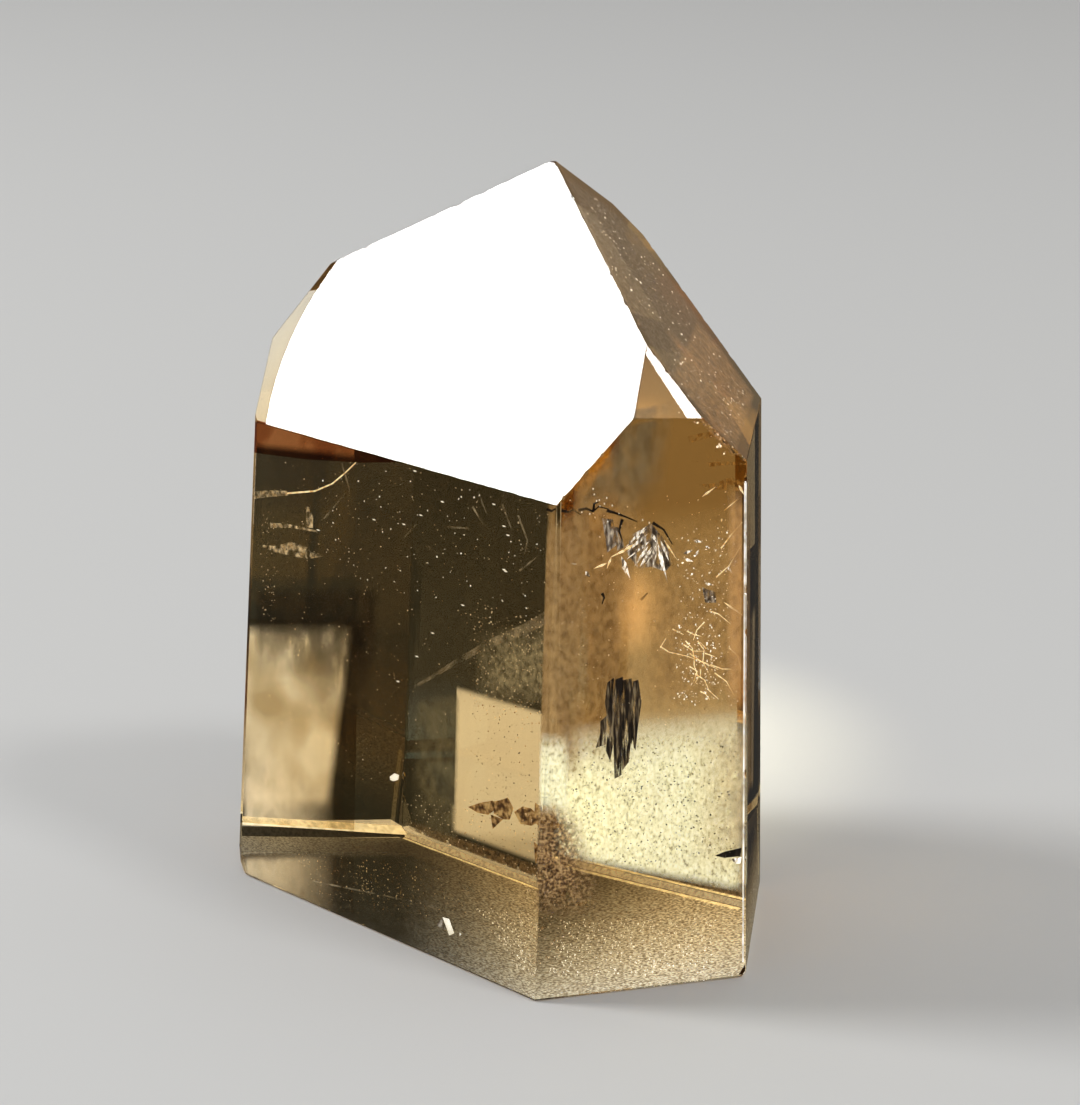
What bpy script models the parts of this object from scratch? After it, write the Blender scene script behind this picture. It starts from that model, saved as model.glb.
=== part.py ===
"""A polished smoky quartz point that stands on its sawn root.

One natural crystal: six prism faces, six faces that meet at the point, and a flat base.
Metres, +Z up. The crystal stands on z = 0 with the middle of its bounding box at the origin.
A face's direction is an angle from -Y, positive towards +X.
"""

import math
import random

import bmesh
import bpy
from mathutils import Matrix, Vector

MM = 0.001

# Prism faces: direction, lean inwards from upright (both degrees), distance from the axis at the base (mm).
PRISM = {
    "front_left": (-43.0, 3.0, 14.4),
    "front": (14.0, 1.5, 23.1),
    "right": (81.5, 1.5, 25.05),
    "back_right": (137.5, 0.5, 18.0),
    "back": (-165.5, 1.5, 21.8),
    "left": (-100.0, 3.5, 25.8),
}

# Faces of the point: direction, slope from level (both degrees), height at which each meets the axis (mm).
POINT = {
    "front_left": (-43.0, 51.0, 60.5),
    "front": (17.0, 52.0, 81.0),
    "right": (80.5, 47.5, 74.6),
    "back_right": (137.0, 52.5, 84.7),
    "back": (-173.0, 49.5, 75.85),
    "left": (-99.5, 53.0, 82.05),
}

# Height (mm) of the bevel ground along the foot of each prism face.
FOOT_BEVEL = {
    "front_left": 0.25,
    "front": 0.25,
    "right": 0.45,
    "back_right": 0.55,
    "back": 0.85,
    "left": 0.6,
}
FOOT_BEVEL_SLOPE = 132.0

ARRIS = 0.09  # width of the polish worn on to every edge, mm
LEFT_EDGE = 0.22  # depth of the narrow bevel down the left edge, mm
LEFT_CORNER = (10.0, 4.6)  # lean (degrees) and height (mm) of the knocked-off corner at its foot
APEX_LOSS = 0.2  # how far the very tip is worn down, mm

# Nicks along the edges: the faces that meet in each edge's two ends, how many nicks, and their size (mm).
NICKS = (
    (("P right", "T right", "P front"), ("P front", "T front", "T right"), 5, 0.26),
    (("P front", "T front", "T right"), ("T front_left", "T front", "T right"), 5, 0.17),
    (("T front_left", "T front", "T right"), ("T front_left", "T back", "T right"), 7, 0.18),
    (("T front_left", "T back", "T right"), ("T front_left", "T back", "T left"), 8, 0.2),
    (("P back_right", "T back_right", "T right"), ("P back_right", "T right", "P right"), 7, 0.24),
    (("P front", "P right", "T right"), ("P front", "P right", "foot"), 11, 0.2),
    (("P front", "P front_left", "foot"), ("P front_left", "P left", "foot"), 10, 0.26),
    (("P front", "P front_left", "foot"), ("P front", "P right", "foot"), 6, 0.2),
    (("P front_left", "P left", "T front_left"), ("P front_left", "P left", "foot"), 6, 0.16),
    (("P back", "P left", "foot"), ("P back", "P back_right", "foot"), 6, 0.3),
    (("P back", "P back_right", "foot"), ("P back", "P back_right", "T back"), 4, 0.2),
    (("P front_left", "P front", "T front_left"), ("P front", "T front", "T front_left"), 4, 0.16),
)
NICK_SEED = 11


def direction(azimuth, slope):
    """The unit normal of a face that looks towards azimuth, with its surface sloped from level."""
    a, s = math.radians(azimuth), math.radians(slope)
    return Vector((math.sin(a) * math.sin(s), -math.cos(a) * math.sin(s), math.cos(s)))


def prism_plane(name):
    azimuth, lean, distance = PRISM[name]
    outward = direction(azimuth, 90.0)
    return direction(azimuth, 90.0 - lean), outward * distance * MM


def point_plane(name):
    azimuth, slope, height = POINT[name]
    return direction(azimuth, slope), Vector((0, 0, height * MM))


def crystal_planes():
    """Every natural face as {name: (normal, a point on it)}, with the base called foot."""
    planes = {"P " + name: prism_plane(name) for name in PRISM}
    planes.update({"T " + name: point_plane(name) for name in POINT})
    planes["foot"] = (Vector((0, 0, -1)), Vector((0, 0, 0)))
    return planes


def corner(planes, names):
    """The point where three faces meet."""
    normals = Matrix([planes[name][0] for name in names])
    offsets = Vector([planes[name][0].dot(planes[name][1]) for name in names])
    return normals.inverted() @ offsets


def foot_bevel_plane(name):
    """A ground bevel between a prism face and the base, as high as FOOT_BEVEL says."""
    azimuth, lean, distance = PRISM[name]
    height = FOOT_BEVEL[name]
    inset = distance - height * math.tan(math.radians(lean))
    point = direction(azimuth, 90.0) * inset * MM + Vector((0, 0, height * MM))
    return direction(azimuth, FOOT_BEVEL_SLOPE), point


def worn_planes(planes):
    """The bevels and lost corners that grinding and handling add to the natural faces."""
    worn = [foot_bevel_plane(name) for name in FOOT_BEVEL]
    left_edge = (planes["P front_left"][0] + planes["P left"][0]).normalized()
    left_foot = corner(planes, ("P front_left", "P left", "foot"))
    worn.append((left_edge, left_foot - left_edge * LEFT_EDGE * MM))
    lean, height = LEFT_CORNER
    knocked = (left_edge - Vector((0, 0, math.tan(math.radians(lean))))).normalized()
    worn.append((knocked, left_foot + Vector((0, 0, height * MM)) - left_edge * 0.75 * LEFT_EDGE * MM))
    tip = corner(planes, ("T front_left", "T back", "T right"))
    worn.append((Vector((-0.1, -0.25, 1.0)).normalized(), tip - Vector((0, 0, APEX_LOSS * MM))))
    return worn


def cut(bm, normal, point):
    """Removes what lies outside a plane and closes the cut with one flat face."""
    geometry = bm.verts[:] + bm.edges[:] + bm.faces[:]
    result = bmesh.ops.bisect_plane(
        bm, geom=geometry, plane_co=point, plane_no=normal, dist=1e-7, clear_outer=True
    )
    rim = [item for item in result["geom_cut"] if isinstance(item, bmesh.types.BMEdge)]
    if rim:
        bmesh.ops.contextual_create(bm, geom=rim)


def crystal_mesh(planes):
    """The solid inside every plane, its edges softened by the polish, as a mesh."""
    bm = bmesh.new()
    bmesh.ops.create_cube(bm, size=0.3)
    for normal, point in list(planes.values()) + worn_planes(planes):
        cut(bm, normal, point)
    bmesh.ops.bevel(
        bm, geom=bm.edges[:], offset=ARRIS * MM / 2, offset_type="OFFSET", segments=1,
        affect="EDGES", clamp_overlap=True,
    )
    bmesh.ops.remove_doubles(bm, verts=bm.verts[:], dist=2e-6)
    bmesh.ops.recalc_face_normals(bm, faces=bm.faces[:])
    mesh = bpy.data.meshes.new("quartz_point")
    bm.to_mesh(mesh)
    bm.free()
    return mesh


def centred(mesh):
    """Moves the mesh so that its box is centred on the Z axis, and returns the move."""
    xs = [v.co.x for v in mesh.vertices]
    ys = [v.co.y for v in mesh.vertices]
    shift = Vector((-(min(xs) + max(xs)) / 2, -(min(ys) + max(ys)) / 2, 0.0))
    mesh.transform(Matrix.Translation(shift))
    return shift


def nick_mesh(planes, shift):
    """Small rough lumps strung along the edges, which the crystal loses as nicks."""
    chance = random.Random(NICK_SEED)
    bm = bmesh.new()
    for start_faces, end_faces, count, size in NICKS:
        start, end = corner(planes, start_faces), corner(planes, end_faces)
        for i in range(count):
            along = (i + chance.uniform(0.2, 0.8)) / count
            across = size * chance.uniform(0.55, 1.3) * MM
            stretch = chance.uniform(1.0, 2.4)
            turn = (end - start).to_track_quat("X", "Z").to_matrix().to_4x4()
            place = Matrix.Translation(start.lerp(end, along) + shift) @ turn
            lump = bmesh.ops.create_icosphere(bm, subdivisions=1, radius=across)
            for vert in lump["verts"]:
                vert.co *= chance.uniform(0.75, 1.2)
                vert.co.x *= stretch
                vert.co = place @ vert.co
    mesh = bpy.data.meshes.new("edge_nicks")
    bm.to_mesh(mesh)
    bm.free()
    return mesh


def smoky_quartz():
    """Clear brown quartz with a polished surface."""
    material = bpy.data.materials.new("smoky_quartz")
    material.use_nodes = True
    shader = material.node_tree.nodes["Principled BSDF"]
    shader.inputs["Base Color"].default_value = (0.52, 0.35, 0.17, 1.0)
    shader.inputs["Roughness"].default_value = 0.03
    shader.inputs["Metallic"].default_value = 0.0
    shader.inputs["IOR"].default_value = 1.544
    shader.inputs["Transmission Weight"].default_value = 1.0
    return material


def linked(name, mesh):
    thing = bpy.data.objects.new(name, mesh)
    bpy.context.scene.collection.objects.link(thing)
    return thing


def build():
    for thing in list(bpy.data.objects):
        bpy.data.objects.remove(thing)
    planes = crystal_planes()
    mesh = crystal_mesh(planes)
    shift = centred(mesh)
    crystal = linked("quartz_point", mesh)
    crystal.data.materials.append(smoky_quartz())
    nicks = linked("edge_nicks", nick_mesh(planes, shift))
    nicks.hide_render = True
    nicks.display_type = "WIRE"
    bite = crystal.modifiers.new("nicks", "BOOLEAN")
    bite.operation = "DIFFERENCE"
    bite.object = nicks
    bite.use_self = True


build()
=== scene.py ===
import math

import bmesh
import bpy
from mathutils import Matrix, Vector


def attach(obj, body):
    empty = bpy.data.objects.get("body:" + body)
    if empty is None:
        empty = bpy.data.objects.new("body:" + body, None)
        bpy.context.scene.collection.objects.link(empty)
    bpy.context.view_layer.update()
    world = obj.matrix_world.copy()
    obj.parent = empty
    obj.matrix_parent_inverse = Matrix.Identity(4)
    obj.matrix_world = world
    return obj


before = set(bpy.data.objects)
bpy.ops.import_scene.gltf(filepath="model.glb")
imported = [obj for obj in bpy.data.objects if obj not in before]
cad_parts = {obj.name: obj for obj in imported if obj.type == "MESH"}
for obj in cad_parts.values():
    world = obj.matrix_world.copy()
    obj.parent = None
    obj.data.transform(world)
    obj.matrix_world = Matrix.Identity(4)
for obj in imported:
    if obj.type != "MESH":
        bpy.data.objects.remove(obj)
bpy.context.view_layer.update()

# The crystal is one natural quartz point, clear smoky brown all through, with every face ground flat
# and polished and its root sawn off level. Its faces and nicks are the solid's own, so this section
# only gives it its finish: plain clear quartz whose brown deepens with the way light goes through it.

MM = 0.001
UP = Vector((0, 0, 1))
QUARTZ_INDEX = 1.544
SMOKE_PER_METRE = (8.5, 17.0, 35.0)  # how fast red, green and blue light die out inside
SMOKE_DENSITY = 50.0

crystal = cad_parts["quartz_point"]


def node_material(name):
    """A fresh material, with its nodes and its links."""
    material = bpy.data.materials.new(name)
    material.use_nodes = True
    return material, material.node_tree.nodes, material.node_tree.links


def polished_smoky_quartz():
    material, nodes, links = node_material("smoky_quartz")
    shader = nodes["Principled BSDF"]
    shader.inputs["Base Color"].default_value = (1.0, 1.0, 1.0, 1.0)
    shader.inputs["Roughness"].default_value = 0.0
    shader.inputs["IOR"].default_value = QUARTZ_INDEX
    shader.inputs["Transmission Weight"].default_value = 1.0
    smoke = nodes.new("ShaderNodeVolumeAbsorption")
    smoke.inputs["Density"].default_value = SMOKE_DENSITY
    smoke.inputs["Color"].default_value = [1.0 - s / SMOKE_DENSITY for s in SMOKE_PER_METRE] + [1.0]
    links.new(smoke.outputs["Volume"], nodes["Material Output"].inputs["Volume"])
    return material


crystal.data.materials.clear()
crystal.data.materials.append(polished_smoky_quartz())

# The sawn foot has a narrow bevel round it, left matt from grinding along the right and the back right, dark
# at the back and polished elsewhere, with a pale ledge of fine chips along its top at the back. The matt
# parts are skins a hair inside the quartz, and the chips are one slanting plate. These skins and the ledge
# glow in their own colours: painted light standing in for the light that ground quartz scatters.

SKIN = 0.025 * MM
BEVEL_TOP = 1.2 * MM
BEVEL_FACES_DOWN = (-0.80, -0.55)  # how far its faces' normals point along Z
MATT_BEVEL = (70.0, 150.0)  # azimuths, from the front round by the right
DARK_BEVEL = (-170.0, -160.0)
BEVEL_COLOUR = (0.93, 0.88, 0.74)
DARK_BEVEL_COLOUR = (0.055, 0.048, 0.034)
CHIP_LEDGE_COLOUR = (1.0, 0.95, 0.74)
DULL_SHARE = 0.62  # how dark a ground face's grains get
MATT_SHARE = 0.3
BACK_CORNERS = (-18.2, 7.0)  # the back face's sides, in mm along it
CHIP_LEDGE_TOP = (2.05, 1.85, 1.60, 1.30, 1.00)
CHIP_LEDGE_WIDTH = 1.5
CHIP_LEDGE_DIP = 16.0
CHIP_LEDGE_DEPTH = 0.05


def compass(azimuth, elevation=0.0):
    """The direction at azimuth (0 is the front, 90 the right) and elevation, in degrees."""
    a, e = math.radians(azimuth), math.radians(elevation)
    return Vector((math.sin(a) * math.cos(e), -math.cos(a) * math.cos(e), math.sin(e)))


def noise_of(nodes, links, grain, detail=2.0, place=None):
    """Soft noise in grains of so many mm, on the piece's own place unless another is given."""
    if place is None:
        place = nodes.new("ShaderNodeTexCoord").outputs["Object"]
    noise = nodes.new("ShaderNodeTexNoise")
    noise.inputs["Scale"].default_value = 1.0 / (grain * MM)
    noise.inputs["Detail"].default_value = detail
    links.new(place, noise.inputs["Vector"])
    return noise.outputs["Fac"]


def share_of(nodes, links, value, low, high, least=0.0, most=1.0, kind="LINEAR"):
    """How far a value is from low to high, running from least to most."""
    share = nodes.new("ShaderNodeMapRange")
    share.interpolation_type = kind
    for label, bound in (("From Min", low), ("From Max", high), ("To Min", least), ("To Max", most)):
        share.inputs[label].default_value = bound
    links.new(value, share.inputs["Value"])
    return share.outputs["Result"]


def maths(nodes, links, operation, first, second, clamp=False):
    """One step of arithmetic on two values."""
    step = nodes.new("ShaderNodeMath")
    step.operation = operation
    step.use_clamp = clamp
    links.new(first, step.inputs[0])
    links.new(second, step.inputs[1])
    return step.outputs["Value"]


def ramp_of(nodes, links, value, stops):
    ramp = nodes.new("ShaderNodeValToRGB")
    while len(ramp.color_ramp.elements) < len(stops):
        ramp.color_ramp.elements.new(0.5)
    for stop, (at, colour) in zip(ramp.color_ramp.elements, stops):
        stop.position = at
        stop.color = (*colour, 1.0)
    links.new(value, ramp.inputs["Fac"])
    return ramp.outputs["Color"]


def ground_finish(name, colour, glow, grain=0.35):
    """Matt ground quartz: it lets light through from outside, softly, in fine uneven grains, and glows in
    them with painted light.
    """
    material, nodes, links = node_material(name)
    nodes.remove(nodes["Principled BSDF"])
    dull = [c * DULL_SHARE for c in colour]
    tint = ramp_of(nodes, links, noise_of(nodes, links, grain), [(0.35, dull), (0.62, colour)])
    through = nodes.new("ShaderNodeBsdfTranslucent")
    matt = nodes.new("ShaderNodeBsdfDiffuse")
    both = nodes.new("ShaderNodeMixShader")
    both.inputs["Fac"].default_value = MATT_SHARE
    # The emission is painted light: a glow in the grains' own colour.
    haze = nodes.new("ShaderNodeEmission")
    haze.inputs["Strength"].default_value = glow
    total = nodes.new("ShaderNodeAddShader")
    for shader in (through, matt, haze):
        links.new(tint, shader.inputs["Color"])
    links.new(through.outputs["BSDF"], both.inputs[1])
    links.new(matt.outputs["BSDF"], both.inputs[2])
    links.new(both.outputs["Shader"], total.inputs[0])
    links.new(haze.outputs["Emission"], total.inputs[1])
    links.new(total.outputs["Shader"], nodes["Material Output"].inputs["Surface"])
    return material


def inside_crystal(name, mesh, material=None):
    """Puts a mesh in the crystal, riding with it, in a material unless it has its own."""
    if material:
        mesh.materials.append(material)
    piece = bpy.data.objects.new(name, mesh)
    bpy.context.scene.collection.objects.link(piece)
    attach(piece, "root")


def bevel_skin(name, azimuths):
    """The bevel's own faces between two azimuths, from the merged solid, set a hair inside it."""
    solid = bmesh.new()
    solid.from_mesh(crystal.data)
    bmesh.ops.remove_doubles(solid, verts=solid.verts, dist=1e-6)
    solid.normal_update()
    low, high = BEVEL_FACES_DOWN
    first, last = azimuths
    others = []
    for face in solid.faces:
        azimuth = math.degrees(math.atan2(face.normal.x, -face.normal.y))
        top = max(v.co.z for v in face.verts)
        if not (low < face.normal.z < high and first < azimuth < last and top < BEVEL_TOP):
            others.append(face)
    bmesh.ops.delete(solid, geom=others, context="FACES")
    shifts = {}
    for corner in solid.verts:
        mean = sum((f.normal for f in corner.link_faces), Vector())
        shifts[corner.index] = -mean.normalized() * SKIN
    for corner in solid.verts:
        corner.co += shifts[corner.index]
    mesh = bpy.data.meshes.new(name)
    solid.to_mesh(mesh)
    solid.free()
    return mesh


# The bevel at the back is dark, and both bevels glow with painted light.
for name, azimuths, colour, glow in (("ground_bevel", MATT_BEVEL, BEVEL_COLOUR, 0.45),
                                     ("dark_bevel", DARK_BEVEL, DARK_BEVEL_COLOUR, 0.6)):
    inside_crystal(name, bevel_skin(name, azimuths), ground_finish(name, colour, glow))

# Each face's azimuth and lean in degrees, and the (x, y) mm level with the foot where its frame starts
FRONT_EDGE_FOOT = (3.364, -22.931)
UNDER = {"front_left": (-43.0, 3.0, FRONT_EDGE_FOOT), "front": (14.0, 1.5, FRONT_EDGE_FOOT),
         "back": (-165.5, 1.5, (-5.46, 21.11)), "back_right": (137.5, 0.5, (12.04, 13.28)),
         "right_point": (80.5, 42.5, (67.42, -11.28))}


def under(face):
    """The frame, in mm, in which (across, up, -depth) is a place under that face of the crystal."""
    azimuth, lean, foot = UNDER[face]
    outward = compass(azimuth)
    side = UP.cross(outward)
    tilt = math.radians(lean)
    normal = outward * math.cos(tilt) + UP * math.sin(tilt)
    up = UP * math.cos(tilt) - outward * math.sin(tilt)
    turned = Matrix((side, up, normal)).transposed().to_4x4()
    return Matrix.Scale(MM, 4) @ Matrix.Translation((*foot, 0.0)) @ turned


def chip_ledge():
    """One plate along the back, dipping inwards from just under the face, so that it faces the front."""
    points, count = [], len(CHIP_LEDGE_TOP)
    left, right = BACK_CORNERS
    dip = math.radians(CHIP_LEDGE_DIP)
    inward, down = CHIP_LEDGE_WIDTH * math.cos(dip), CHIP_LEDGE_WIDTH * math.sin(dip)
    for i, top in enumerate(CHIP_LEDGE_TOP):
        across = -(left + (right - left) * i / (count - 1))
        points.append((across, top, -CHIP_LEDGE_DEPTH))
        points.append((across, top - down, -CHIP_LEDGE_DEPTH - inward))
    mesh = bpy.data.meshes.new("chip_ledge")
    mesh.from_pydata(points, [], [(2 * i, 2 * i + 1, 2 * i + 3, 2 * i + 2) for i in range(count - 1)])
    mesh.transform(under("back"))
    return mesh


# The chip ledge's bright glow is painted light.
inside_crystal("chip_ledge", chip_ledge(), ground_finish("chip_ledge", CHIP_LEDGE_COLOUR, 1.35, 0.9))

# The foot's sole is matt over its front right half and along its back edges, with fine golden grains, while
# the rest is still polished under a thin dark film. It is one sheet a hair above the sole, see-through where
# the polish is left, with a bright line on it. Its tone is painted light and shade, darker towards the back
# left and brighter towards the front right, and it glows with painted light where its grains glitter through
# the quartz.

SOLE_LIFT = 0.06 * MM
SOLE_INSET = 1.0
SOLE_CORNERS = [(3.4, -22.9), (22.5, -18.2), (25.4, 1.1), (1.5, 22.9), (-23.4, 16.5), (-25.6, 4.1)]
SOLE_WAY = (1.0, -0.35, 0.0)
SOLE_FROM, SOLE_TO = -22.0, 26.0  # dot products with that way, in mm, as in the next two lists
# Painted light and shade: how bright the sole film is along its way, dim at the back left, darkest a little
# behind the middle and brightest at the front right.
SOLE_LIGHT_AND_SHADE = [(-22.0, 0.16), (-14.0, 0.08), (-6.0, 0.05), (-3.0, 0.07), (2.0, 0.14), (6.0, 0.25),
              (13.0, 0.46), (20.0, 0.56)]
SOLE_COVER = [(-10.0, 0.10), (-5.0, 0.20), (-1.0, 0.70), (4.0, 1.0)]
# Each back edge's way outwards, and the mm along it at which the film starts to cover the sole and is whole
RIMS = [((0.676, 0.737, 0.0), 12.6, 14.6), ((-0.250, 0.968, 0.0), 15.0, 17.0)]
SOLE_GLOW = 1.65
RIM_LINE = [(-13.0, 1.5), (13.5, 1.5), (13.5, 1.0), (-13.0, 1.0)]  # (across, depth) in mm
RIM_LINE_LIFT = 0.15
RIM_LINE_COLOUR = (1.0, 0.93, 0.66)


def sole_film():
    points = []
    for x, y in SOLE_CORNERS:
        corner = Vector((x, y))
        corner -= corner.normalized() * SOLE_INSET
        points.append((corner.x * MM, corner.y * MM, SOLE_LIFT))
    mesh = bpy.data.meshes.new("sole_film")
    mesh.from_pydata(points, [], [range(len(points))])
    return mesh


def sole_finish():
    """Fine brown and pale grains, closer together towards the front right and brighter there: painted light
    and shade, with a painted glow.
    """
    material, nodes, links = node_material("sole_film")
    shader = nodes["Principled BSDF"]
    shader.inputs["Roughness"].default_value = 0.6
    # The sole glows with painted light in its grains' colour.
    shader.inputs["Emission Strength"].default_value = SOLE_GLOW

    def reach(way, low, high):
        """How far a place's dot product with a way is from low to high mm, 0 to 1."""
        place = nodes.new("ShaderNodeTexCoord")
        along = nodes.new("ShaderNodeVectorMath")
        along.operation = "DOT_PRODUCT"
        along.inputs[1].default_value = way
        links.new(place.outputs["Object"], along.inputs[0])
        return share_of(nodes, links, along.outputs["Value"], low * MM, high * MM)

    def along_sole_way(stops):
        spread = SOLE_TO - SOLE_FROM
        grey = [((s - SOLE_FROM) / spread, (v, v, v)) for s, v in stops]
        return ramp_of(nodes, links, reach(SOLE_WAY, SOLE_FROM, SOLE_TO), grey)

    grain = noise_of(nodes, links, 0.30, 3.0)
    tint = ramp_of(nodes, links, grain, [(0.36, (0.20, 0.15, 0.08)), (0.50, (0.58, 0.49, 0.33)),
                                         (0.66, (1.0, 0.95, 0.72))])
    shaded = nodes.new("ShaderNodeMix")
    shaded.data_type = "RGBA"
    shaded.blend_type = "MULTIPLY"
    shaded.inputs["Factor"].default_value = 1.0
    links.new(tint, shaded.inputs["A"])
    links.new(along_sole_way(SOLE_LIGHT_AND_SHADE), shaded.inputs["B"])
    links.new(shaded.outputs["Result"], shader.inputs["Base Color"])
    links.new(shaded.outputs["Result"], shader.inputs["Emission Color"])
    patches = share_of(nodes, links, noise_of(nodes, links, 2.2, 4.0), 0.30, 0.70, 0.6, 1.5)
    covered = maths(nodes, links, "MULTIPLY", along_sole_way(SOLE_COVER), patches)
    for way, low, high in RIMS:
        covered = maths(nodes, links, "ADD", covered, reach(way, low, high), clamp=True)
    links.new(covered, shader.inputs["Alpha"])
    return material


def rim_line():
    """A bright line on the sole, just inside its back right edge: a painted highlight that glows."""
    mesh = bpy.data.meshes.new("rim_line")
    mesh.from_pydata([(across, RIM_LINE_LIFT, -depth) for across, depth in RIM_LINE], [], [(0, 1, 2, 3)])
    mesh.transform(under("back_right"))
    return mesh


inside_crystal("sole_film", sole_film(), sole_finish())
inside_crystal("rim_line", rim_line(), ground_finish("rim_line", RIM_LINE_COLOUR, 0.9, 0.6))

# Inclusions caught in the quartz as it grew: a feather of silvery fracture films below the point, gold
# threads, a dark striped flake, small brown leaf-like flakes, pale chips and thin veils, and with them a
# scratch and a bright strip along the right edge. Each is a thin closed plate, a third of a millimetre to six
# millimetres under a front face. Most glow in their own colour as painted light, standing in for the light
# they catch, and the pale chips, sparks, stars and the white bars in the feather are painted glints.

FILM = 0.04  # mm thick
HAZE_STEPS = 16
SOLID_SHARE = 0.88  # how much of a soft film's width is whole
TEAR_SHARE = 0.7  # a film's mottling grain, as a share of the grain that it is torn in


def inclusion_finish(name, stops, glow, grain=0.5, stretch=1.0, cover=None, fading=False):
    """A film mottled in grains of so many mm, drawn out upwards by stretch, and broken up by cover.
    A fading film also thins out by its "cover" attribute."""
    material, nodes, links = node_material(name)
    shader = nodes["Principled BSDF"]
    shader.inputs["Roughness"].default_value = 0.35
    shader.inputs["Specular IOR Level"].default_value = 0.15
    # The glow is painted light: the film shines in its own colour.
    shader.inputs["Emission Strength"].default_value = glow
    place = nodes.new("ShaderNodeTexCoord")
    drawn = nodes.new("ShaderNodeMapping")
    drawn.inputs["Scale"].default_value = (1.0, 1.0, 1.0 / stretch)
    links.new(place.outputs["Object"], drawn.inputs["Vector"])
    mottled = noise_of(nodes, links, grain, 3.0, drawn.outputs["Vector"])
    tint = ramp_of(nodes, links, mottled, stops)
    links.new(tint, shader.inputs["Base Color"])
    links.new(tint, shader.inputs["Emission Color"])
    if cover:
        low, high, most = cover
        torn = noise_of(nodes, links, grain / TEAR_SHARE, 4.0, drawn.outputs["Vector"])
        left = share_of(nodes, links, torn, low, high, 0.0, most)
        if fading:
            thin = nodes.new("ShaderNodeAttribute")
            thin.attribute_name = "cover"
            left = maths(nodes, links, "MULTIPLY", left, thin.outputs["Fac"])
        links.new(left, shader.inputs["Alpha"])
    return material


def films(name, face, depth, outlines, finish):
    """Thin closed plates under a face, from outlines of (across, up) or (across, up, deeper) mm."""
    points, faces = [], []
    for outline in outlines:
        area = sum(a[0] * b[1] - b[0] * a[1] for a, b in zip(outline, outline[1:] + outline[:1]))
        ring = outline if area > 0 else outline[::-1]
        start, count = len(points), len(ring)
        for back in (0.0, FILM):
            for p in ring:
                deeper = p[2] if len(p) > 2 else 0.0
                points.append((p[0], p[1], -(depth + deeper + back)))
        faces.append([start + i for i in range(count)])
        faces.append([start + count + i for i in reversed(range(count))])
        for i in range(count):
            j = (i + 1) % count
            faces.append([start + i, start + count + i, start + count + j, start + j])
    mesh = bpy.data.meshes.new(name)
    mesh.from_pydata(points, [], faces)
    mesh.transform(under(face))
    inside_crystal(name, mesh, finish)


def blade(root, tip, width, belly=0.35, slant=0.5):
    """The outline of a pointed film from root to tip, widest at belly, and deeper at its tip by slant."""
    along = Vector(tip) - Vector(root)
    side = Vector((-along.y, along.x)).normalized() * width / 2
    middle = Vector(root) + along * belly
    return [(root[0], root[1], 0.0), (*(middle - side), slant * belly), (tip[0], tip[1], slant),
            (*(middle + side), slant * belly)]


def thread(points, width, taper=0.3):
    """The outline of a fine thread through points, thinning towards its end."""
    left, right = [], []
    for i, p in enumerate(points):
        before = Vector(points[max(i - 1, 0)])
        after = Vector(points[min(i + 1, len(points) - 1)])
        way = (after - before).normalized()
        half = width / 2 * (1.0 - (1.0 - taper) * i / (len(points) - 1))
        side = Vector((-way.y, way.x)) * half
        left.append(tuple(Vector(p) + side))
        right.append(tuple(Vector(p) - side))
    return left + right[::-1]


def haze(name, face, depth, corners, fades, finish):
    """A lens-shaped sheet between four anticlockwise corners of (across, up) mm, from the lowest left,
    that thins out over a share of its size at its left, right, low and top sides."""
    points, covers, index, faces = [], [], {}, []
    low_left, low_right, top_right, top_left = (Vector(c) for c in corners)
    for back in (0, 1):
        for i in range(HAZE_STEPS + 1):
            for j in range(HAZE_STEPS + 1):
                rim = i in (0, HAZE_STEPS) or j in (0, HAZE_STEPS)
                index[back, i, j] = index[0, i, j] if back and rim else len(points)
                if back and rim:
                    continue
                u, v = i / HAZE_STEPS, j / HAZE_STEPS
                spot = low_left.lerp(low_right, u).lerp(top_left.lerp(top_right, u), v)
                points.append((spot.x, spot.y, -(depth + back * FILM)))
                covers.append(math.prod(min(r / f, 1.0) for r, f in zip((u, 1 - u, v, 1 - v), fades)))
        for i in range(HAZE_STEPS):
            for j in range(HAZE_STEPS):
                ring = [index[back, i + m, j + n] for m, n in ((0, 0), (1, 0), (1, 1), (0, 1))]
                faces.append(ring[::-1] if back else ring)
    mesh = bpy.data.meshes.new(name)
    mesh.from_pydata(points, [], faces)
    mesh.attributes.new("cover", "FLOAT", "POINT").data.foreach_set("value", covers)
    mesh.transform(under(face))
    inside_crystal(name, mesh, finish)


def soft_film(name, face, depth, outline, finish):
    """A closed film with an anticlockwise outline of (across, up) mm, that thins out at its rim."""
    count = len(outline)
    middle = sum((Vector(p) for p in outline), Vector((0.0, 0.0))) / count
    points = [(*p, -depth) for p in outline]
    for back in (0, 1):
        for p in outline:
            points.append((*middle.lerp(Vector(p), SOLID_SHARE), -(depth + back * FILM)))
    faces = []
    for back in (0, 1):
        start = count * (1 + back)
        sides = [[i, (i + 1) % count, start + (i + 1) % count, start + i] for i in range(count)]
        for ring in sides + [[start + i for i in range(count)]]:
            faces.append(ring[::-1] if back else ring)
    mesh = bpy.data.meshes.new(name)
    mesh.from_pydata(points, [], faces)
    covers = [0.0] * count + [1.0] * (2 * count)
    mesh.attributes.new("cover", "FLOAT", "POINT").data.foreach_set("value", covers)
    mesh.transform(under(face))
    inside_crystal(name, mesh, finish)


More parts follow.
